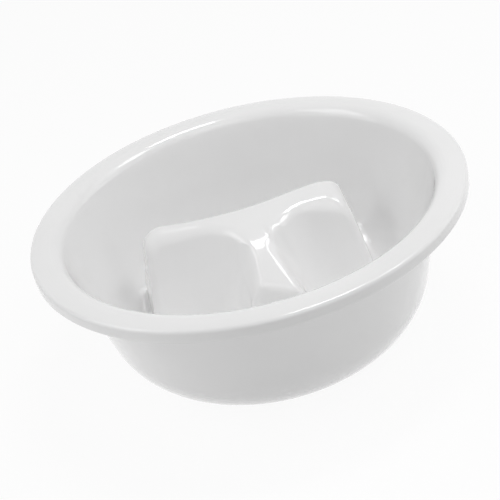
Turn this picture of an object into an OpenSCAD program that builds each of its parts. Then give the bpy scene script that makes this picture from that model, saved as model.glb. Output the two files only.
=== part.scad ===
// Round foot basin with a moulded footrest standing on its floor.
// Frame: millimetres, origin on the floor under the bowl's axis, +Z up, +Y away from the user.

/* [Bowl] */
// Diameter over the turned-down rim
rim_d = 450; // [400:1:520]
// Height from the floor to the crest of the rim
overall_h = 176; // [160:1:200]
// Wall thickness of the bowl moulding
wall = 4; // [3:0.5:4]
// Height of the turned-down edge, crest to lower edge
skirt_h = 15; // [13:0.5:20]
// Outer radius of the edge between flange and turned-down skirt
edge_r = 4.5; // [4.2:0.1:6]
// Fall of the flange towards its outer edge, degrees
flange_fall = 7; // [2:0.5:9]
// Width of the flange from its crest to the outside
flange_w = 19; // [16:0.5:24]
// Rounding where the flange rolls over into the bowl
lip_r = 15; // [10:0.5:18]
// Lean of the side wall from upright, degrees
wall_lean = 14.3; // [12:0.1:16]
// Radius of the knee between side wall and lower cone, inside
knee_r = 76; // [60:1:80]
// Slope of the lower cone from level, degrees
cone_slope = 33; // [30:0.5:36]
// Radius between lower cone and floor, inside
heel_r = 8; // [6:0.5:12]
// Length of the straight part of the lower cone
cone_len = 25; // [18:0.5:32]

/* [Footrest] */
// Wall thickness of the footrest moulding
rest_wall = 3.5; // [3:0.5:4.5]
// Height of the ledge above the floor at the ends of its back edge
ledge_h = 133; // [122:1:138]
// Fall of the ledge towards the user, degrees
ledge_fall = 5; // [2:0.5:10]
// Sag of the ledge at mid length
ledge_sag = 9; // [4:0.5:12]
// Length of the ledge
ledge_l = 216; // [206:1:222]
// Distance of the ledge's back edge behind the bowl's axis
ledge_back = 78; // [72:1:82]
// Rounding of the ledge's upper corners, seen from the front
corner_r = 24; // [22:1:28]
// Rounding along the back edge
back_r = 7; // [5:0.5:10]
// Lean of the end faces from upright, degrees
end_lean = 8.9; // [6:0.1:11]
// Lean of the back face from upright, degrees
back_lean = 12; // [6:0.5:15]
// Radius of each hollow for a foot
scoop_r = 52; // [49:0.5:53]
// Spacing of the two hollows, centre to centre at ledge height
scoop_gap = 120; // [118:1:124]
// Back of each hollow behind the bowl's axis, at ledge height
scoop_back = 57; // [50:1:62]
// Lean of the hollows from upright, degrees
scoop_lean = 18; // [12:0.5:24]
// Splay of the hollows, degrees from upright
scoop_splay = 12; // [8:0.5:18]
// Front of the ledge's stem behind the bowl's axis
stem_front = 18; // [12:1:24]
// Slope of the middle rib, degrees from level
rib_slope = 36; // [32:1:42]
// Front end of the middle rib, in front of the bowl's axis
rib_front = 31; // [24:1:36]
// Rounding of the rib's front edge
rib_r = 3; // [1:0.5:5]
// Lean of the rib's front face from upright, degrees
nose_lean = 12; // [6:0.5:18]
// How far the middle rib stands to the right of the middle
rib_shift = 5; // [0:0.5:7]
// Glue line under the footrest
glue_gap = 0.15; // [0.1:0.05:0.3]

/* [Feet] */
// Diameter of a grip foot
foot_d = 24; // [18:1:30]
// Height of a grip foot, which is the gap under the bowl
foot_h = 4; // [3:0.5:7]
// Distance of a foot's centre inside the edge of the flat base
foot_inset = 25; // [20:1:40]
// Play of a foot in its locating ring
foot_play = 0.25; // [0.1:0.05:0.4]
// Height of the locating ring
ring_h = 1.5; // [1:0.25:2.5]
// Width of the locating ring
ring_w = 2; // [1.5:0.25:3]
// Rounding of a foot's lower edge
foot_r = 1.2; // [0.5:0.1:1.5]
// Radius of the grip groove
groove_r = 0.8; // [0.5:0.1:1.2]

/* [Hidden] */
$fn = 96;
far = 400;
white = [0.93, 0.93, 0.92];
rubber_grey = [0.34, 0.35, 0.36];

// Bowl section, radius first, height second
rim_r = rim_d / 2;
crest_r = rim_r - flange_w;
floor_z = foot_h + wall;
lip_c = [crest_r, overall_h - lip_r];
edge_z = overall_h - (rim_r - edge_r - crest_r) * tan(flange_fall);
edge_c = [rim_r - edge_r, edge_z - edge_r];
fall_n = [sin(flange_fall), cos(flange_fall)];
wall_n = [-cos(wall_lean), sin(wall_lean)];
wall_d = [-sin(wall_lean), -cos(wall_lean)];
cone_n = [-sin(cone_slope), cos(cone_slope)];
cone_d = [-cos(cone_slope), -sin(cone_slope)];
// The straight side wall takes up the height that the arcs, the cone and the floor leave
arcs_h = lip_r * (1 - wall_n[1]) + knee_r * (cone_n[1] - wall_n[1]) + heel_r * (1 - cone_n[1]);
wall_len = (overall_h - floor_z - arcs_h - cone_len * sin(cone_slope)) / cos(wall_lean);
knee_c = lip_c + lip_r * wall_n + wall_len * wall_d + knee_r * wall_n;
cone_start = knee_c - knee_r * cone_n;
heel_c = cone_start + cone_len * cone_d + heel_r * cone_n;

// Everything on the outer side of the inner surface, moved outwards by a distance
module bowl_side(out) {
    difference() {
        union() {
            polygon([
                [rim_r - out, -far],
                [rim_r - out, edge_c[1]],
                edge_c,
                edge_c + (edge_r - out) * fall_n,
                lip_c + (lip_r - out) * fall_n,
                lip_c,
                lip_c + (lip_r - out) * wall_n,
                knee_c - (knee_r + out) * wall_n,
                knee_c - (knee_r + out) * cone_n,
                heel_c - (heel_r + out) * cone_n,
                heel_c - [0, heel_r + out],
                [0, floor_z - out],
                [0, -far]
            ]);
            translate(lip_c) circle(lip_r - out);
            translate(edge_c) circle(edge_r - out);
        }
        translate(knee_c) circle(knee_r + out);
        translate(heel_c) circle(heel_r + out);
    }
}

// Section of the bowl wall with the skirt cut to length
module bowl_section() {
    difference() {
        bowl_side(0);
        bowl_side(wall);
        translate([crest_r, -far]) square([far, far + overall_h - skirt_h]);
    }
}

// Ring under the base that a grip foot sits in
foot_pitch_r = heel_c[0] - foot_inset;
module foot_ring(angle) {
    rotate([0, 0, angle])
        translate([foot_pitch_r, 0, foot_h - ring_h])
            difference() {
                cylinder(d = foot_d + 2 * (foot_play + ring_w), h = ring_h + wall / 2);
                translate([0, 0, -1]) cylinder(d = foot_d + 2 * foot_play, h = ring_h + 1);
            }
}

module bowl() {
    color(white) {
        rotate_extrude() bowl_section();
        for (angle = [45 : 90 : 315]) foot_ring(angle);
    }
}

// Unit vector from one point to another
function unit(a, b) = (b - a) / norm(b - a);
// Inward normal of an edge of a polygon that runs anticlockwise
function inward(a, b) = [a[1] - b[1], b[0] - a[0]] / norm(b - a);
// A convex polygon with every edge moved inwards
function inset(p, t) = let (n = len(p)) [
    for (i = [0 : n - 1])
        let (m = inward(p[(i + n - 1) % n], p[i]), k = inward(p[i], p[(i + 1) % n]))
        p[i] + t * (m + k) / (1 + m * k)
];

// Convex polygon with its own rounding at each corner; a corner with 0 stays sharp
module rounded(p, r) {
    n = len(p);
    rays = [for (i = [0 : n - 1]) [unit(p[i], p[(i + n - 1) % n]), unit(p[i], p[(i + 1) % n])]];
    half = [for (i = [0 : n - 1]) acos(rays[i][0] * rays[i][1]) / 2];
    polygon([
        for (i = [0 : n - 1])
            for (k = r[i] > 0 ? [0, 1] : [0])
                p[i] + rays[i][k] * r[i] / tan(half[i])
    ]);
    for (i = [0 : n - 1])
        if (r[i] > 0) {
            mid = rays[i][0] + rays[i][1];
            translate(p[i] + mid / norm(mid) * r[i] / sin(half[i])) circle(r[i]);
        }
}

// Footrest from the side, y first: back face, top line, rib and nose
// The top line runs clear above the ledge, so that the ledge comes from the front view alone
top_clear = 1;
stem_top = ledge_h - (ledge_back - stem_front) * tan(ledge_fall);
rib_run = (ledge_sag + top_clear) / (tan(rib_slope) - tan(ledge_fall));
nose_z = stem_top - ledge_sag - (stem_front + rib_front) * tan(rib_slope);
side_p = [
    [ledge_back + ledge_h * tan(back_lean), 0],
    [ledge_back, ledge_h + top_clear],
    [stem_front + rib_run, stem_top + top_clear + rib_run * tan(ledge_fall)],
    [-rib_front, nose_z],
    [-rib_front - nose_z * tan(nose_lean), 0]
];
side_r = [0, back_r, 0, rib_r, 0];

// Footrest from the front, measured down from the ledge: each corner arc runs into the sag arc
deep = 1.5 * ledge_h;
end_n = [cos(end_lean), sin(end_lean)];
end_d = [sin(end_lean), -cos(end_lean)];
corner_c = [ledge_l / 2 - corner_r * (1 - sin(end_lean)) / cos(end_lean), -corner_r];
sag_r = (pow(corner_c[0], 2) + pow(ledge_sag, 2)) / (2 * ledge_sag) - corner_r;
sag_c = [0, sag_r - ledge_sag];

// The corners of the hollow inside are cut straight, in two steps, which leaves them a little thicker
module front_section(in) {
    r = corner_r - in;
    top_n = unit(corner_c, sag_c);
    bend = corner_c + r * unit([0, 0], end_n + top_n);
    end_top = corner_c + r * end_n;
    right = [end_top + deep * end_d, end_top, in > 0 ? bend : corner_c, corner_c + r * top_n];
    left = [for (i = [3 : -1 : 0]) [-right[i][0], right[i][1]]];
    difference() {
        union() {
            polygon(concat(right, left));
            if (in == 0)
                for (side = [-1, 1]) translate([side * corner_c[0], corner_c[1]]) circle(r);
        }
        translate(sag_c) circle(sag_r + in, $fn = 360);
    }
}

module side_prism(in) {
    rotate([90, 0, 90])
        translate([0, 0, -far / 2])
            linear_extrude(far)
                rounded(inset(side_p, in), [for (r = side_r) max(r - in, 0)]);
}

module front_prism(in) {
    translate([0, ledge_back, ledge_h])
        rotate([90 + ledge_fall, 0, 0])
            translate([0, 0, -far / 2])
                linear_extrude(far) front_section(in);
}

// One hollow for a foot, open towards the user and at its outer end
outer_lip = 8;
module scoop(side, in) {
    plain_r = scoop_r - side * rib_shift / 2;
    r = plain_r + in;
    mirror([side < 0 ? 1 : 0, 0, 0])
        translate([scoop_gap / 2 + side * rib_shift / 2, scoop_back - plain_r / cos(scoop_lean), ledge_h])
            rotate([-scoop_lean, -scoop_splay, 0])
                translate([0, 0, -far / 2])
                    linear_extrude(far) {
                        circle(r);
                        translate([-r, -far]) square([2 * r, far]);
                        translate([0, -far]) square([far, far + outer_lip + in]);
                    }
}

// The whole footrest, or its hollow inside when moved inwards
module rest_form(in) {
    difference() {
        intersection() {
            side_prism(in);
            front_prism(in);
        }
        scoop(1, in);
        scoop(-1, in);
    }
}

module footrest() {
    color(white)
        difference() {
            rest_form(0);
            rest_form(rest_wall);
            rotate_extrude() bowl_side(-glue_gap);
        }
}

// Rubber foot with a rounded lower edge and a grip groove
module foot(angle) {
    color(rubber_grey)
        rotate([0, 0, angle])
            translate([foot_pitch_r, 0, 0])
                rotate_extrude()
                    difference() {
                        rounded([[0, 0], [foot_d / 2, 0], [foot_d / 2, foot_h], [0, foot_h]],
                                [0, foot_r, 0, 0]);
                        translate([foot_d / 4, 0]) circle(groove_r);
                    }
}

module foot_front_left() { foot(225); }
module foot_front_right() { foot(315); }
module foot_back_left() { foot(135); }
module foot_back_right() { foot(45); }

bowl();
footrest();
foot_front_left();
foot_front_right();
foot_back_left();
foot_back_right();
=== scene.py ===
# %% [markdown]
# # A round foot basin with a sculpted footrest
# The object is a glossy white basin for soaking the feet. A broad flange runs round the top and turns
# down into a short skirt. Inside, a saddle-shaped footrest stands on the floor: a ledge at the back, a
# hollow for each foot, and a sloping rib between them.
# The frame from the CAD model fixes the pieces, their places and the overall size. This script gives them
# soft edges, a footrest that follows the photograph more closely than the solid does, a finish and light.
# So it starts by loading that frame.

# %% Load the frame
import math

import bmesh
import bpy
import numpy as np
from mathutils import Matrix, Vector


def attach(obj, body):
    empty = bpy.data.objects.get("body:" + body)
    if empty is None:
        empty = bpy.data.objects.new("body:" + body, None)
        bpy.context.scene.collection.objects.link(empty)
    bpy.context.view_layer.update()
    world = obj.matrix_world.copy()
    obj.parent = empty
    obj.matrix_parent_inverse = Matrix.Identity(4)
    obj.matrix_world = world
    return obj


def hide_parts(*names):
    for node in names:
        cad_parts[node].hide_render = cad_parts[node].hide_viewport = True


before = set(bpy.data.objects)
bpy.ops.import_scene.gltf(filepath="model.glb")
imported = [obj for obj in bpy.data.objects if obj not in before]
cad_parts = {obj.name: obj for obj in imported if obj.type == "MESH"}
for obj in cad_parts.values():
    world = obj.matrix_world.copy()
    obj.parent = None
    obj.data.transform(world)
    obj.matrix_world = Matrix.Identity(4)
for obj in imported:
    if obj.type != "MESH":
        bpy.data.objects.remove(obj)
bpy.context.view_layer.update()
scene = bpy.context.scene
MM = 0.001
print("frame nodes:", sorted(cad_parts))

# %% [markdown]
# ## The camera
# The rim is a circle, so the ellipse it makes in the photograph tells how high the camera stood, and how
# much smaller the far side looks tells how far away it was. The photograph is also tilted: the camera was
# rolled about its own axis. A helper constraint could aim the camera, but it would not keep the roll, so
# the three axes of the camera are worked out here and written into its matrix.

# %% Camera
RIM_TOP = 176.0
VIEW_YAW = math.radians(5.5)
VIEW_RISE = math.radians(28.58)
VIEW_ROLL = math.radians(14.30)
VIEW_DISTANCE = 1500.0
AIM_LEFT = 7.47
AIM_BELOW = 60.37
SENSOR_WIDTH = 36.0
FOCAL_LENGTH = 106.8

up = Vector((0, 0, 1))
sideways = Vector((math.cos(VIEW_YAW), -math.sin(VIEW_YAW), 0))
backwards = Vector((-math.sin(VIEW_YAW), -math.cos(VIEW_YAW), 0))
rim_middle = Vector((0, 0, RIM_TOP))
view_from = rim_middle + VIEW_DISTANCE * (math.cos(VIEW_RISE) * backwards + math.sin(VIEW_RISE) * up)
view_at = rim_middle - AIM_LEFT * sideways - AIM_BELOW * up

forward = (view_at - view_from).normalized()
level = forward.cross(up).normalized()
upright = level.cross(forward)
camera_right = level * math.cos(VIEW_ROLL) - upright * math.sin(VIEW_ROLL)
camera_up = level * math.sin(VIEW_ROLL) + upright * math.cos(VIEW_ROLL)
camera_axes = Matrix((camera_right, camera_up, -forward)).transposed().to_4x4()

camera_data = bpy.data.cameras.new("photo_camera")
camera_data.sensor_width = SENSOR_WIDTH
camera_data.lens = FOCAL_LENGTH
camera = bpy.data.objects.new("photo_camera", camera_data)
camera.matrix_world = Matrix.Translation(view_from * MM) @ camera_axes
scene.collection.objects.link(camera)
scene.camera = camera
print("camera at", [round(v, 3) for v in camera.location])

# %% [markdown]
# ## The section of the bowl
# A bowl like this is turned: one section, swung round an axis. The section is a chain of straight runs and
# arcs that meet without a kink, and the back of the wall is the same chain moved outwards by the wall's
# thickness, which only changes the radius of each arc. So the arcs' centres are found once, and a small
# helper walks each arc with a number of points that suits its size. The flange is very slightly domed: it
# is level at its crest and falls twice as fast at the edge, which gives the highlight on it a soft end.

# %% Bowl section
RIM_R = 225.0
WALL = 4.0
SKIRT_H = 15.0
SKIRT_ROUND = 1.0
EDGE_R = 4.5
FLANGE_W = 19.0
LIP_R = 15.0
KNEE_R = 76.0
CONE_LEN = 25.0
HEEL_R = 8.0
FOOT_H = 4.0
FLANGE_FALL = math.radians(7.0)
WALL_LEAN = math.radians(14.3)
CONE_SLOPE = math.radians(33.0)
FLOOR_Z = FOOT_H + WALL

wall_in = np.array([-math.cos(WALL_LEAN), math.sin(WALL_LEAN)])
wall_down = np.array([-math.sin(WALL_LEAN), -math.cos(WALL_LEAN)])
cone_in = np.array([-math.sin(CONE_SLOPE), math.cos(CONE_SLOPE)])
cone_down = np.array([-math.cos(CONE_SLOPE), -math.sin(CONE_SLOPE)])

crest_r = RIM_R - FLANGE_W
lip_c = np.array([crest_r, RIM_TOP - LIP_R])
edge_drop = (RIM_R - EDGE_R - crest_r) * math.tan(FLANGE_FALL)
edge_c = np.array([RIM_R - EDGE_R, RIM_TOP - edge_drop - EDGE_R])
dome_turn = 2 * FLANGE_FALL
dome_r = EDGE_R + (edge_c[0] - crest_r) / math.sin(dome_turn)
dome_c = np.array([crest_r, RIM_TOP - dome_r])
arcs_h = LIP_R * (1 - wall_in[1]) + KNEE_R * (cone_in[1] - wall_in[1]) + HEEL_R * (1 - cone_in[1])
wall_len = (RIM_TOP - FLOOR_Z - arcs_h + CONE_LEN * cone_down[1]) / math.cos(WALL_LEAN)
knee_c = lip_c + LIP_R * wall_in + wall_len * wall_down + KNEE_R * wall_in
cone_top = knee_c - KNEE_R * cone_in
heel_c = cone_top + CONE_LEN * cone_down + HEEL_R * cone_in


def arc(centre, radius, start, end, count):
    """Points along an arc in the section, from one angle to another."""
    turn = np.linspace(start, end, count)
    return [centre + radius * np.array([math.cos(a), math.sin(a)]) for a in turn]


def run(a, b, count):
    """Points strictly between two points of the section."""
    return [a + (b - a) * k / (count + 1) for k in range(1, count + 1)]


def wall_side(out):
    """The section from the skirt's lower edge to the middle of the floor, moved outwards."""
    dome_end = math.pi / 2 - dome_turn
    lip_turn = math.pi - WALL_LEAN
    cone_turn = CONE_SLOPE - math.pi / 2
    skirt = [np.array([RIM_R - out, RIM_TOP - SKIRT_H + SKIRT_ROUND])]
    edge = arc(edge_c, EDGE_R - out, 0, dome_end, 10 if out == 0 else 5)
    dome = arc(dome_c, dome_r - out, dome_end, math.pi / 2, 10)[1:]
    lip = arc(lip_c, LIP_R - out, math.pi / 2, lip_turn, 18)[1:]
    knee = arc(knee_c, KNEE_R + out, -WALL_LEAN, cone_turn, 22)
    heel = arc(heel_c, HEEL_R + out, cone_turn, -math.pi / 2, 8)
    floor = run(heel[-1], np.array([0.0, FLOOR_Z - out]), 8)
    return (skirt + run(skirt[0], edge[0], 3) + edge + dome + lip
            + run(lip[-1], knee[0], 14) + knee + run(knee[-1], heel[0], 4) + heel + floor)


inner_side = wall_side(0)
outer_side = wall_side(WALL)
print("section points:", len(inner_side), "inside and", len(outer_side), "outside")

# %% [markdown]
# ## Turning the bowl
# The Spin tool swings the section round the upright axis in 256 steps, which keeps the rim smooth at this
# distance. The lower edge of the skirt is finely rounded, as on a moulding. The four low rings under the
# base, which hold the grip feet in place, are turned in the same way round their own axes. They are closed
# rings that reach halfway into the base, so that no edge is left open.

# %% Turn the bowl
FOOT_D = 24.0
FOOT_PLAY = 0.25
FOOT_INSET = 25.0
RING_W = 2.0
RING_H = 1.5
RING_ROUND = 0.3
BOWL_STEPS = 256
RING_STEPS = 48
WELD = 0.001
foot_pitch = heel_c[0] - FOOT_INSET


def turned(mesh, section, centre, steps, closed):
    """Spins a section of (radius, height) points round an upright axis through centre, in mm."""
    points = [mesh.verts.new((centre[0] + r, centre[1], z)) for r, z in section]
    following = points[1:] + (points[:1] if closed else [])
    edges = [mesh.edges.new(pair) for pair in zip(points, following)]
    bmesh.ops.spin(mesh, geom=points + edges, cent=(centre[0], centre[1], 0), axis=(0, 0, 1),
                   angle=2 * math.pi, steps=steps, use_merge=True)


round_z = RIM_TOP - SKIRT_H + SKIRT_ROUND
inner_c = np.array([RIM_R - WALL + SKIRT_ROUND, round_z])
outer_c = np.array([RIM_R - SKIRT_ROUND, round_z])
skirt_end = arc(inner_c, SKIRT_ROUND, math.pi, 1.5 * math.pi, 5)
skirt_end += arc(outer_c, SKIRT_ROUND, 1.5 * math.pi, 2 * math.pi, 5)
bowl_section = outer_side[:0:-1] + skirt_end[:-1] + inner_side
bowl_section = [np.array([0.0, FLOOR_Z - WALL])] + bowl_section + [np.array([0.0, FLOOR_Z])]

bowl_mesh = bmesh.new()
turned(bowl_mesh, bowl_section, (0, 0), BOWL_STEPS, False)
ring_in = FOOT_D / 2 + FOOT_PLAY
ring_out = ring_in + RING_W
ring_top = FOOT_H + WALL / 2
ring_low = FOOT_H - RING_H
ring_section = [(ring_in, ring_top), (ring_in, ring_low + RING_ROUND), (ring_in + RING_ROUND, ring_low),
                (ring_out - RING_ROUND, ring_low), (ring_out, ring_low + RING_ROUND), (ring_out, ring_top)]
for quarter in range(4):
    angle = math.radians(45 + 90 * quarter)
    ring_c = (foot_pitch * math.cos(angle), foot_pitch * math.sin(angle))
    turned(bowl_mesh, ring_section, ring_c, RING_STEPS, True)
bmesh.ops.remove_doubles(bowl_mesh, verts=bowl_mesh.verts, dist=WELD)
bmesh.ops.recalc_face_normals(bowl_mesh, faces=bowl_mesh.faces)
bmesh.ops.scale(bowl_mesh, vec=(MM, MM, MM), verts=bowl_mesh.verts)


def finish_mesh(name, built):
    """Turns a bmesh into an object with smooth shading."""
    data = bpy.data.meshes.new(name)
    built.to_mesh(data)
    built.free()
    data.polygons.foreach_set("use_smooth", [True] * len(data.polygons))
    piece = bpy.data.objects.new(name, data)
    scene.collection.objects.link(piece)
    return piece


bowl = finish_mesh("turned_bowl", bowl_mesh)
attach(bowl, "root")
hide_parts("bowl")
print("bowl faces:", len(bowl.data.polygons))

# %% [markdown]
# ## The footrest as a field of distances
# The footrest is the sculpted piece: hollows with soft rims, a ledge that sags in the middle, a rib with
# one crisp edge and one softer, and a cove where it runs into the bowl. Bevels on a polygon model fail
# where so many curved faces meet. A field is easier: each face is a function that gives the distance of
# any point from it, below zero on the inside. Two faces meet in an edge by taking the larger value, and a
# round edge of radius r comes from a small change to that rule. A cove is the same rule turned inside out.

# %% Rules for round edges and coves


def round_edge(a, b, r):
    """Where both a and b hold, with their shared edge rounded."""
    return np.minimum(np.maximum(a, b), -r) + np.hypot(np.maximum(a + r, 0), np.maximum(b + r, 0))


def cove(a, b, r):
    """Where a or b holds, with the corner between them filled by a hollow round."""
    return np.maximum(np.minimum(a, b), r) - np.hypot(np.maximum(r - a, 0), np.maximum(r - b, 0))


def plane(point, normal, x, y, z):
    """Distance in front of a plane."""
    return (x - point[0]) * normal[0] + (y - point[1]) * normal[1] + (z - point[2]) * normal[2]


def ease(t):
    """A smooth step from 0 to 1."""
    t = np.clip(t, 0, 1)
    return t * t * (3 - 2 * t)


# %% [markdown]
# ## The ledge, the ends and the back
# The ledge is a shallow trough: the inside of a very large cylinder, lying along the fall of the ledge.
# The ends and the back lean outwards, as a moulding must to leave its mould.

# %% Ledge, ends and back
LEDGE_H = 133.0
LEDGE_BACK = 78.0
LEDGE_L = 216.0
LEDGE_SAG = 9.0
CORNER_R = 24.0
BACK_R = 7.0
LEDGE_FALL = math.radians(5.0)
END_LEAN = math.radians(8.9)
BACK_LEAN = math.radians(12.0)
corner_x = LEDGE_L / 2 - CORNER_R * (1 - math.sin(END_LEAN)) / math.cos(END_LEAN)
sag_r = (corner_x ** 2 + LEDGE_SAG ** 2) / (2 * LEDGE_SAG) - CORNER_R


def ledge_block(x, y, z):
    """The block under the sagging ledge, before the hollows and the rib are cut."""
    height = (z - LEDGE_H) * math.cos(LEDGE_FALL) - (y - LEDGE_BACK) * math.sin(LEDGE_FALL)
    ledge = sag_r - np.hypot(x, height - (sag_r - LEDGE_SAG))
    ends = (np.abs(x) - LEDGE_L / 2) * math.cos(END_LEAN) + height * math.sin(END_LEAN)
    back = (y - LEDGE_BACK) * math.cos(BACK_LEAN) + (z - LEDGE_H) * math.sin(BACK_LEAN)
    return round_edge(round_edge(ledge, ends, CORNER_R), back, BACK_R)


print("radius of the ledge's sag:", round(sag_r), "mm")

# %% [markdown]
# ## The rib
# The rib slopes down from the stem of the ledge towards the user and ends in a short steep nose. On the
# real piece its top is a narrow strip that widens towards the nose, with a crisp edge on the left and a
# softer one on the right, and its flanks fall away into the hollows. The strip slopes, leans a little to
# the right and is very slightly domed along its length, which draws a highlight near its top. The nose is
# turned a little to the left. Each flank is a plane through an edge of the strip, tilted outwards. Towards
# the ledge, and further out than the rib is wide, it is lifted clear so that it leaves the ledge alone, and
# so is the strip past its right edge. Just above the strip, a second slope rounds the front of the ledge.

# %% Rib
STEM_FRONT = 33.0
RIB_FRONT = 22.0
RIB_SLOPE = math.radians(36.0)
STRIP_R = 340.0
NOSE_LEAN = math.radians(12.0)
NOSE_TURN = math.radians(9.5)
RIB_ROLL = math.radians(9.0)
RIB_LEFT = -3.5
FLANK_TILT = math.radians(42.0)
LEFT_BACK, LEFT_FRONT = (0.8, 33.0), (-5.6, -31.0)
RIGHT_BACK, RIGHT_FRONT = (14.9, 17.4), (30.0, -25.0)
RIGHT_SLANT = 0.356
RIB_MIDDLE = 4.0
NOSE_X = 9.5
LEFT_EDGE_R = 1.8
RIGHT_EDGE_R = 5.0
NOSE_EDGE_R = 4.0
CLEAR_RATE = 0.05
FLANK_WIDTH = 14.0
STRIP_SPARE = 3.5
BACK_LIFT = 0.45
BACK_LIFT_Y = 20.0
BACK_LIFT_SOFT = 5.0
stem_z = LEDGE_H - (LEDGE_BACK - STEM_FRONT) * math.tan(LEDGE_FALL) - LEDGE_SAG
strip_half = (STEM_FRONT + RIB_FRONT) / math.cos(RIB_SLOPE) / 2
rib_up = np.array([math.tan(RIB_ROLL) * math.cos(RIB_SLOPE), -math.sin(RIB_SLOPE), math.cos(RIB_SLOPE)])
rib_up /= np.linalg.norm(rib_up)


def on_rib(x, y):
    """The point of the rib's top plane at a place in plan."""
    fall = (x - RIB_LEFT) * math.tan(RIB_ROLL)
    return np.array([x, y, stem_z + (y - STEM_FRONT) * math.tan(RIB_SLOPE) - fall])


def rib_flank(back_end, front_end, x, y, z):
    """Distance in front of a flank through one edge of the strip."""
    along = (front_end - back_end) / np.linalg.norm(front_end - back_end)
    outwards = np.cross(along, rib_up)
    outwards *= math.copysign(1.0, outwards[0] * (back_end[0] + front_end[0] - 2 * RIB_MIDDLE))
    normal = math.cos(FLANK_TILT) * rib_up + math.sin(FLANK_TILT) * outwards
    towards_ledge = y - BACK_LIFT_Y
    lift = BACK_LIFT * (towards_ledge + np.hypot(towards_ledge, BACK_LIFT_SOFT))
    lift = lift + CLEAR_RATE * np.maximum(plane(back_end, outwards, x, y, z) - FLANK_WIDTH, 0) ** 2
    return plane(back_end, normal, x, y, z) - lift


def rib_top(x, y, z):
    """The rib's strip, flanks and nose."""
    along = (STEM_FRONT - y) / math.cos(RIB_SLOPE) - strip_half
    domed = np.clip(along, -strip_half, strip_half)
    strip = plane(on_rib(RIB_LEFT, STEM_FRONT), rib_up, x, y, z) + domed ** 2 / (2 * STRIP_R)
    strip = strip + np.maximum(-along - strip_half, 0) * strip_half / (2 * STRIP_R)
    past_edge = x - (RIGHT_BACK[0] + RIGHT_SLANT * (RIGHT_BACK[1] - y))
    strip = strip - CLEAR_RATE * np.maximum(past_edge - STRIP_SPARE, 0) ** 2
    left = rib_flank(on_rib(*LEFT_BACK), on_rib(*LEFT_FRONT), x, y, z)
    right = rib_flank(on_rib(*RIGHT_BACK), on_rib(*RIGHT_FRONT), x, y, z)
    nose_flat = math.cos(NOSE_LEAN)
    nose_out = [-math.sin(NOSE_TURN) * nose_flat, -math.cos(NOSE_TURN) * nose_flat, math.sin(NOSE_LEAN)]
    nose = plane(on_rib(NOSE_X, -RIB_FRONT), nose_out, x, y, z)
    sides = round_edge(round_edge(strip, left, LEFT_EDGE_R), right, RIGHT_EDGE_R)
    return round_edge(sides, nose, NOSE_EDGE_R)


print("rib strip:", round(2 * strip_half, 1), "mm long")

# %% Front of the ledge
FRONT_ABOVE = 5.2
FRONT_GENTLER = 0.115
FRONT_FROM_Y = 18.0


def ledge_front(x, y, z):
    """The slope that rounds the ledge's front, a little above the strip."""
    above_strip = plane(on_rib(RIB_LEFT, STEM_FRONT), rib_up, x, y, z) - FRONT_ABOVE
    return above_strip + FRONT_GENTLER * np.maximum(y - FRONT_FROM_Y, 0)


print("front of the ledge:", FRONT_ABOVE, "mm above the strip")

# %% [markdown]
# ## The hollows
# Each hollow is a slanting round channel that a heel and sole lie in. It leans back, and the two channels
# splay apart towards the floor. Its distance is that of a tube: how far a point is from the slanting axis,
# less the radius, with the front left open. Only the side by the rib is round. On the outer side the
# photograph shows the hollow running out nearly flat to the end of the ledge, so there the distance
# sideways counts for less, which stretches the round into a shallow curve.

# %% Hollows
OUTER_STRETCH = 0.35
SCOOP_LEAN = math.radians(18.0)
SCOOP_SPLAY = math.radians(15.0)
LEFT_HOLLOW = {"side": -1, "middle": 57.5, "radius": 54.5, "back": 63.0}
RIGHT_HOLLOW = {"side": 1, "middle": 63.0, "radius": 45.0, "back": 53.0}
FRONT_R = 14.0
RIB_JOIN_R = 6.0
LEFT_RIM_R = 9.0
LEFT_RIM_MORE = 4.0
MORE_FROM_X = -35.0
MORE_OVER = 45.0
RIGHT_RIM_R = 8.0


def hollow(shape, x, y, z):
    """Distance outside one foot hollow: above zero in the air of the hollow."""
    radius = shape["radius"]
    dx = shape["side"] * x - shape["middle"]
    dy = y - (shape["back"] - radius / math.cos(SCOOP_LEAN))
    dz = z - LEDGE_H
    across = dx * math.cos(SCOOP_SPLAY) + dz * math.sin(SCOOP_SPLAY)
    upwards = dz * math.cos(SCOOP_SPLAY) - dx * math.sin(SCOOP_SPLAY)
    inwards = dy * math.cos(SCOOP_LEAN) - upwards * math.sin(SCOOP_LEAN)
    sideways_part = np.where(across > 0, OUTER_STRETCH * across, across)
    return radius - np.hypot(sideways_part, np.maximum(inwards, 0))


def footrest_distance(x, y, z):
    """The whole footrest, without the cove: the left rim is softer, most of all at its outer end."""
    form = round_edge(ledge_block(x, y, z), ledge_front(x, y, z), FRONT_R)
    form = round_edge(form, rib_top(x, y, z), RIB_JOIN_R)
    soft_rim = LEFT_RIM_R + LEFT_RIM_MORE * ease((MORE_FROM_X - x) / MORE_OVER)
    form = round_edge(form, hollow(LEFT_HOLLOW, x, y, z), soft_rim)
    return round_edge(form, hollow(RIGHT_HOLLOW, x, y, z), RIGHT_RIM_R)


print("hollow radii:", LEFT_HOLLOW["radius"], "and", RIGHT_HOLLOW["radius"], "mm")

# %% [markdown]
# ## The cove into the bowl
# The footrest runs into the bowl with a hollow round. That needs the distance of a point from the inside
# of the bowl, which follows from the section: the nearest run or arc is chosen by where the point lies.
# The piece is kept only as far as the cove reaches, and its underside lies hidden in the bowl's wall. The
# cove dips a hair under the bowl's surface before it ends, so its thin edge is never seen.

# %% Cove and whole form
COVE_R = 11.0
BURIED = 2.0
DIP = 0.12
KEPT_SHARE = 0.99


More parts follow.
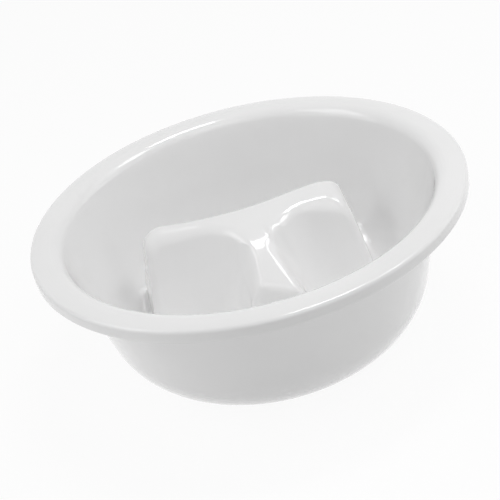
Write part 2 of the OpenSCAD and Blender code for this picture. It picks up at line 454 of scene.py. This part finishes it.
def above_bowl(x, y, z):
    """Distance of a point from the bowl's inner surface, above zero inside the basin."""
    r = np.hypot(x, y)
    wall = (r - knee_c[0]) * wall_in[0] + (z - knee_c[1]) * wall_in[1] + KNEE_R
    knee = KNEE_R - np.hypot(r - knee_c[0], z - knee_c[1])
    cone = (r - cone_top[0]) * cone_in[0] + (z - cone_top[1]) * cone_in[1]
    heel = HEEL_R - np.hypot(r - heel_c[0], z - heel_c[1])
    past_wall = (r - knee_c[0]) * wall_down[0] + (z - knee_c[1]) * wall_down[1]
    past_knee = (r - knee_c[0]) * cone_down[0] + (z - knee_c[1]) * cone_down[1]
    past_cone = (r - heel_c[0]) * cone_down[0] + (z - heel_c[1]) * cone_down[1]
    low = np.where(r > heel_c[0], heel, z - FLOOR_Z)
    low = np.where(past_cone < 0, cone, low)
    low = np.where(past_knee < 0, knee, low)
    return np.where(past_wall < 0, wall, low)


def coved_footrest(x, y, z):
    """The footrest running into the bowl with its cove."""
    return cove(footrest_distance(x, y, z), above_bowl(x, y, z) + DIP, COVE_R)


def footrest_field(x, y, z):
    """The footrest with its cove, cut off below the bowl's surface."""
    form = footrest_distance(x, y, z)
    bowl_side = above_bowl(x, y, z)
    joined = cove(form, bowl_side + DIP, COVE_R)
    return np.maximum(np.maximum(joined, form - KEPT_SHARE * COVE_R), -bowl_side - BURIED)


print("cove radius:", COVE_R, "mm")

# %% [markdown]
# ## From field to mesh
# The field is sampled on a fine grid. Every small cube that the surface passes through gets one vertex, at
# the mean of the points where the surface cuts its edges, and every cut edge joins the four cubes round it
# with a face. That is a surface net. A few steps along the slope of the field then put each vertex exactly
# on the surface, and the same slope gives each vertex its exact normal, so the grid doesn't show.

# %% Surface net
STEP = 1.3
grid_low = np.array([-146.0, -66.0, 3.0])
grid_high = np.array([146.0, 122.0, 139.5])


def surface_net(field, low, step):
    """Vertices and faces of the surface where a sampled field is zero."""
    cells = np.array(field.shape) - 1
    inside = field < 0

    def corner(values, c):
        return values[c[0]:c[0] + cells[0], c[1]:c[1] + cells[1], c[2]:c[2] + cells[2]]

    corners = [(i, j, k) for i in (0, 1) for j in (0, 1) for k in (0, 1)]
    held = sum(corner(inside, c).astype(np.int8) for c in corners)
    crossed = (held > 0) & (held < 8)
    number = np.full(crossed.shape, -1)
    number[crossed] = np.arange(crossed.sum())
    total = np.zeros((crossed.sum(), 3))
    hits = np.zeros((crossed.sum(), 1))
    for a in corners:
        for axis in range(3):
            if a[axis]:
                continue
            b = tuple(1 if k == axis else a[k] for k in range(3))
            va, vb = corner(field, a)[crossed], corner(field, b)[crossed]
            cut = (va < 0) != (vb < 0)
            share = va[cut] / (va[cut] - vb[cut])
            total[cut] += np.array(a)
            total[cut, axis] += share
            hits[cut] += 1
    points = low + step * (np.argwhere(crossed) + total / hits)
    faces = []
    for axis in range(3):
        u, v = (axis + 1) % 3, (axis + 2) % 3
        first = np.take(inside, range(inside.shape[axis] - 1), axis)
        second = np.take(inside, range(1, inside.shape[axis]), axis)
        spots = np.argwhere(first != second)
        spots = spots[((spots > 0) & (spots < cells)).all(1, where=[k != axis for k in range(3)])]
        leaving = first[tuple(spots.T)]
        ring = []
        for du, dv in ((0, 0), (-1, 0), (-1, -1), (0, -1)):
            at = spots.copy()
            at[:, u] += du
            at[:, v] += dv
            ring.append(number[tuple(at.T)])
        quad = np.stack(ring, 1)
        quad[~leaving] = quad[~leaving][:, ::-1]
        faces.append(quad)
    return points, np.concatenate(faces)


axes = [np.arange(a, b + STEP, STEP) for a, b in zip(grid_low, grid_high)]
sampled = footrest_field(*np.meshgrid(*axes, indexing="ij"))
points, faces = surface_net(sampled, grid_low, STEP)
print("footrest net:", len(points), "vertices,", len(faces), "faces")

# %% Settle the net on the surface
SLOPE_GAP = 0.05
SETTLE_ROUNDS = 4
LEAST_SLOPE = 0.2
LONGEST_MOVE = 0.4
SEEN_DEPTH = 0.6


def slope(field, at):
    """Gradient of a field at each point."""
    parts = []
    for axis in range(3):
        shift = np.zeros(3)
        shift[axis] = SLOPE_GAP
        parts.append(field(*(at + shift).T) - field(*(at - shift).T))
    return np.stack(parts, 1) / (2 * SLOPE_GAP)


for _ in range(SETTLE_ROUNDS):
    value = footrest_field(*points.T)
    direction = slope(footrest_field, points)
    steepness = np.maximum((direction ** 2).sum(1, keepdims=True), LEAST_SLOPE)
    move = value[:, None] * direction / steepness
    points = points - np.clip(move, -LONGEST_MOVE, LONGEST_MOVE)
print("largest distance off the surface:", round(float(np.abs(footrest_field(*points.T)).max()), 4), "mm")

rest_data = bpy.data.meshes.new("sculpted_footrest")
rest_data.from_pydata((points * MM).tolist(), [], faces.tolist())
rest_data.polygons.foreach_set("use_smooth", [True] * len(rest_data.polygons))
seen = above_bowl(*points.T) > -SEEN_DEPTH
normals = np.where(seen[:, None], slope(coved_footrest, points), slope(footrest_field, points))
normals /= np.linalg.norm(normals, axis=1, keepdims=True)
rest_data.normals_split_custom_set_from_vertices(normals.tolist())
footrest = bpy.data.objects.new("sculpted_footrest", rest_data)
scene.collection.objects.link(footrest)
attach(footrest, "root")
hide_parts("footrest")
print("footrest height:", round(float(points[:, 2].max()), 1), "mm")

# %% [markdown]
# ## The white gloss finish
# The basin is one white resin or plastic with a polished skin. A plain white shader looks like plaster, so
# the finish gets what the real one shows: a very slight change of tone over a hand's width, a gloss that
# is a little duller in places and along worn edges, and a skin that isn't perfectly flat, which makes
# highlights waver. The bowl also has the faint rings that polishing leaves on turned work. All of that comes
# from noise and waves in the object's own coordinates. Most of the shine is a clear coat over the white. It
# fades in one soft round patch on each piece: at the left of the flange, and on the left rim of the footrest,
# which is duller than the right one.

# %% Gloss finish
COAT = 0.95


def node(tree, kind, **values):
    """A new node with some of its inputs set by name."""
    made = tree.nodes.new("ShaderNode" + kind)
    for name, value in values.items():
        made.inputs[name.replace("_", " ")].default_value = value
    return made


def add_scaled(tree, amount, scale, base):
    """The value base plus a scaled amount."""
    made = tree.nodes.new("ShaderNodeMath")
    made.operation = "MULTIPLY_ADD"
    tree.links.new(amount, made.inputs[0])
    made.inputs[1].default_value = scale
    tree.links.new(base, made.inputs[2])
    return made.outputs[0]


def worn_edges(tree, low, high):
    """A value that rises to 1 along sharp outer edges."""
    edge = node(tree, "NewGeometry")
    worn = node(tree, "MapRange", From_Min=low, From_Max=high)
    tree.links.new(edge.outputs["Pointiness"], worn.inputs["Value"])
    return worn.outputs["Result"]


def gloss_white(name, dull_centre, dull_reach, dull_amount, ring_depth):
    """A polished white skin with slight changes of tone, gloss and flatness."""
    finish = bpy.data.materials.new(name)
    finish.use_nodes = True
    tree = finish.node_tree
    skin = tree.nodes["Principled BSDF"]
    skin.inputs["IOR"].default_value = 1.5
    skin.inputs["Specular IOR Level"].default_value = 0.05
    skin.inputs["Coat IOR"].default_value = 1.6
    skin.inputs["Coat Roughness"].default_value = 0.1
    place = node(tree, "TexCoord").outputs["Object"]
    worn = worn_edges(tree, 0.52, 0.62)

    cloud = node(tree, "TexNoise", Scale=9.0, Detail=3.0)
    tree.links.new(place, cloud.inputs["Vector"])
    tone = node(tree, "ValToRGB")
    tone.color_ramp.elements[0].position = 0.3
    tone.color_ramp.elements[0].color = (0.915, 0.914, 0.914, 1)
    tone.color_ramp.elements[1].position = 0.7
    tone.color_ramp.elements[1].color = (0.942, 0.941, 0.941, 1)
    tree.links.new(cloud.outputs["Fac"], tone.inputs["Fac"])
    rubbed = node(tree, "MixRGB", Color2=(0.9, 0.899, 0.898, 1))
    tree.links.new(worn, rubbed.inputs["Fac"])
    tree.links.new(tone.outputs["Color"], rubbed.inputs["Color1"])
    tree.links.new(rubbed.outputs["Color"], skin.inputs["Base Color"])

    wipe = node(tree, "TexNoise", Scale=55.0, Detail=4.0)
    tree.links.new(place, wipe.inputs["Vector"])
    dulling = node(tree, "MapRange", To_Min=0.12, To_Max=0.22)
    tree.links.new(wipe.outputs["Fac"], dulling.inputs["Value"])
    rough = add_scaled(tree, worn, 0.04, dulling.outputs["Result"])
    tree.links.new(rough, skin.inputs["Roughness"])

    patch_place = node(tree, "Mapping", Location=dull_centre, Scale=dull_reach)
    patch_place.vector_type = "TEXTURE"
    tree.links.new(place, patch_place.inputs["Vector"])
    patch = node(tree, "TexGradient")
    patch.gradient_type = "SPHERICAL"
    tree.links.new(patch_place.outputs["Vector"], patch.inputs["Vector"])
    shine = node(tree, "MapRange", From_Max=0.5, To_Min=COAT, To_Max=COAT * (1 - dull_amount))
    shine.interpolation_type = "SMOOTHSTEP"
    tree.links.new(patch.outputs["Fac"], shine.inputs["Value"])
    tree.links.new(shine.outputs["Result"], skin.inputs["Coat Weight"])

    peel = node(tree, "TexNoise", Scale=160.0, Detail=2.0)
    tree.links.new(place, peel.inputs["Vector"])
    rings = node(tree, "TexWave", Scale=90.0, Distortion=1.5, Detail=2.0)
    rings.wave_type = "RINGS"
    rings.rings_direction = "Z"
    tree.links.new(place, rings.inputs["Vector"])
    waver = node(tree, "Bump", Strength=0.02, Distance=0.001)
    height = add_scaled(tree, rings.outputs["Fac"], ring_depth, peel.outputs["Fac"])
    tree.links.new(height, waver.inputs["Height"])
    tree.links.new(waver.outputs["Normal"], skin.inputs["Normal"])
    return finish


left_rim = (-0.075, 0.062, 0.128)
rim_reach = (0.085, 0.05, 0.05)
left_flange = (-RIM_R * MM, 0, RIM_TOP * MM)
flange_reach = (0.12, 0.12, 0.12)
bowl_finish = gloss_white("bowl_gloss", left_flange, flange_reach, 0.4, 0.8)
rest_finish = gloss_white("footrest_gloss", left_rim, rim_reach, 0.9, 0.0)
bowl.data.materials.append(bowl_finish)
footrest.data.materials.append(rest_finish)
print("finishes:", bowl_finish.name, rest_finish.name)

# %% [markdown]
# ## The grip feet
# The four rubber feet keep their CAD shape: a disc with a rounded lower edge and a grip groove. Rubber is
# matt and slightly speckled, it is scuffed paler along its edges, and a fine grain breaks up what little
# shine it has.

# %% Rubber feet
rubber = bpy.data.materials.new("grip_rubber")
rubber.use_nodes = True
mix = rubber.node_tree
rubber_skin = mix.nodes["Principled BSDF"]
rubber_worn = worn_edges(mix, 0.52, 0.6)
speckle = node(mix, "TexNoise", Scale=700.0)
mix.links.new(node(mix, "TexCoord").outputs["Object"], speckle.inputs["Vector"])
rubber_tone = node(mix, "ValToRGB")
rubber_tone.color_ramp.elements[0].color = (0.075, 0.077, 0.08, 1)
rubber_tone.color_ramp.elements[1].color = (0.12, 0.123, 0.128, 1)
mix.links.new(speckle.outputs["Fac"], rubber_tone.inputs["Fac"])
scuffed = node(mix, "MixRGB", Color2=(0.19, 0.19, 0.19, 1))
mix.links.new(rubber_worn, scuffed.inputs["Fac"])
mix.links.new(rubber_tone.outputs["Color"], scuffed.inputs["Color1"])
mix.links.new(scuffed.outputs["Color"], rubber_skin.inputs["Base Color"])
rubber_matt = node(mix, "MapRange", To_Min=0.62, To_Max=0.78)
mix.links.new(speckle.outputs["Fac"], rubber_matt.inputs["Value"])
rubber_rough = add_scaled(mix, rubber_worn, 0.1, rubber_matt.outputs["Result"])
mix.links.new(rubber_rough, rubber_skin.inputs["Roughness"])
grain = node(mix, "Bump", Strength=0.25, Distance=0.0004)
mix.links.new(speckle.outputs["Fac"], grain.inputs["Height"])
mix.links.new(grain.outputs["Normal"], rubber_skin.inputs["Normal"])
feet = [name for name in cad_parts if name.startswith("foot_")]
for name in feet:
    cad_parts[name].data.materials.clear()
    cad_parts[name].data.materials.append(rubber)
print("rubber feet:", len(feet))

# %% [markdown]
# ## Floor and world
# The photograph's ground is plain white. The floor is a pale matt surface that catches the shadow; for the
# camera and for reflections, most of it is a plain white that needs no light, so that it reads as white
# without brighter lamps. The world does the same behind everything else.

# %% Floor and world
FLOOR_SIZE = 8.0
FLOOR_DROP = 0.0002
PAPER_SHARE = 0.93
WORLD_LIGHT = 0.26


def seen_directly(nodes, links):
    """A value of 1 for camera, glossy and transmission rays, and 0 for the light that falls on things."""
    path = nodes.new("ShaderNodeLightPath")
    first = nodes.new("ShaderNodeMath")
    first.operation = "MAXIMUM"
    links.new(path.outputs["Is Camera Ray"], first.inputs[0])
    links.new(path.outputs["Is Glossy Ray"], first.inputs[1])
    either = nodes.new("ShaderNodeMath")
    either.operation = "MAXIMUM"
    links.new(first.outputs[0], either.inputs[0])
    links.new(path.outputs["Is Transmission Ray"], either.inputs[1])
    return either.outputs[0]


bpy.ops.mesh.primitive_plane_add(size=FLOOR_SIZE, location=(0, 0, -FLOOR_DROP))
floor = bpy.context.object
floor.name = "studio_floor"
floor_finish = bpy.data.materials.new("studio_floor")
floor_finish.use_nodes = True
floor_nodes, floor_links = floor_finish.node_tree.nodes, floor_finish.node_tree.links
matt = floor_nodes["Principled BSDF"]
matt.inputs["Base Color"].default_value = (0.92, 0.92, 0.92, 1)
matt.inputs["Roughness"].default_value = 0.9
matt.inputs["Specular IOR Level"].default_value = 0.0
paper = floor_nodes.new("ShaderNodeEmission")
paper.inputs["Strength"].default_value = 1.0
share = floor_nodes.new("ShaderNodeMath")
share.operation = "MULTIPLY"
share.inputs[1].default_value = PAPER_SHARE
floor_links.new(seen_directly(floor_nodes, floor_links), share.inputs[0])
blend = floor_nodes.new("ShaderNodeMixShader")
floor_links.new(share.outputs[0], blend.inputs[0])
floor_links.new(matt.outputs[0], blend.inputs[1])
floor_links.new(paper.outputs[0], blend.inputs[2])
floor_links.new(blend.outputs[0], floor_nodes["Material Output"].inputs["Surface"])
floor.data.materials.append(floor_finish)

world = bpy.data.worlds.new("studio_world")
scene.world = world
world.use_nodes = True
world_nodes, world_links = world.node_tree.nodes, world.node_tree.links
sky = world_nodes["Background"]
sky.inputs["Color"].default_value = (1, 1, 1, 1)
level_light = world_nodes.new("ShaderNodeMapRange")
level_light.inputs["To Min"].default_value = WORLD_LIGHT
level_light.inputs["To Max"].default_value = 1.0
world_links.new(seen_directly(world_nodes, world_links), level_light.inputs["Value"])
world_links.new(level_light.outputs["Result"], sky.inputs["Strength"])
print("floor and world are set")

# %% [markdown]
# ## Studio light
# The shading in the photograph is soft, with a few crisp highlights on the rim of the right hollow and on
# the rib. The main light is a rather small box overhead, a little to the right, which draws those lines. A
# second small one from the right front lights the rib's edge. Wide boxes in front, on both sides and low
# down fill in the rest. All are area lamps of a real studio's size.

# %% Lamps


def softbox(name, place, aim, width, depth, power):
    """A rectangular area lamp that faces a point."""
    lamp = bpy.data.lights.new(name, "AREA")
    lamp.shape = "RECTANGLE"
    lamp.size = width
    lamp.size_y = depth
    lamp.energy = power
    box = bpy.data.objects.new(name, lamp)
    box.location = place
    box.rotation_euler = (Vector(aim) - Vector(place)).to_track_quat("-Z", "Y").to_euler()
    scene.collection.objects.link(box)


middle = (0.0, 0.0, 0.1)
softbox("overhead_box", (0.38, 0.0, 1.92), middle, 0.35, 0.6, 9.0)
softbox("front_box", (0.0, -1.4, 1.5), middle, 1.0, 1.0, 2.2)
softbox("left_box", (-1.4, 0.0, 1.5), middle, 1.0, 1.0, 6.0)
softbox("right_box", (1.4, 0.0, 1.5), middle, 1.0, 1.0, 2.0)
softbox("spark_box", (1.1, -0.25, 1.6), middle, 0.5, 0.5, 3.8)
softbox("low_left_box", (-1.7, -0.3, 0.55), middle, 1.8, 1.0, 4.2)
softbox("low_right_box", (1.7, -0.3, 0.55), middle, 1.8, 1.0, 3.6)
scene.view_settings.view_transform = "Standard"
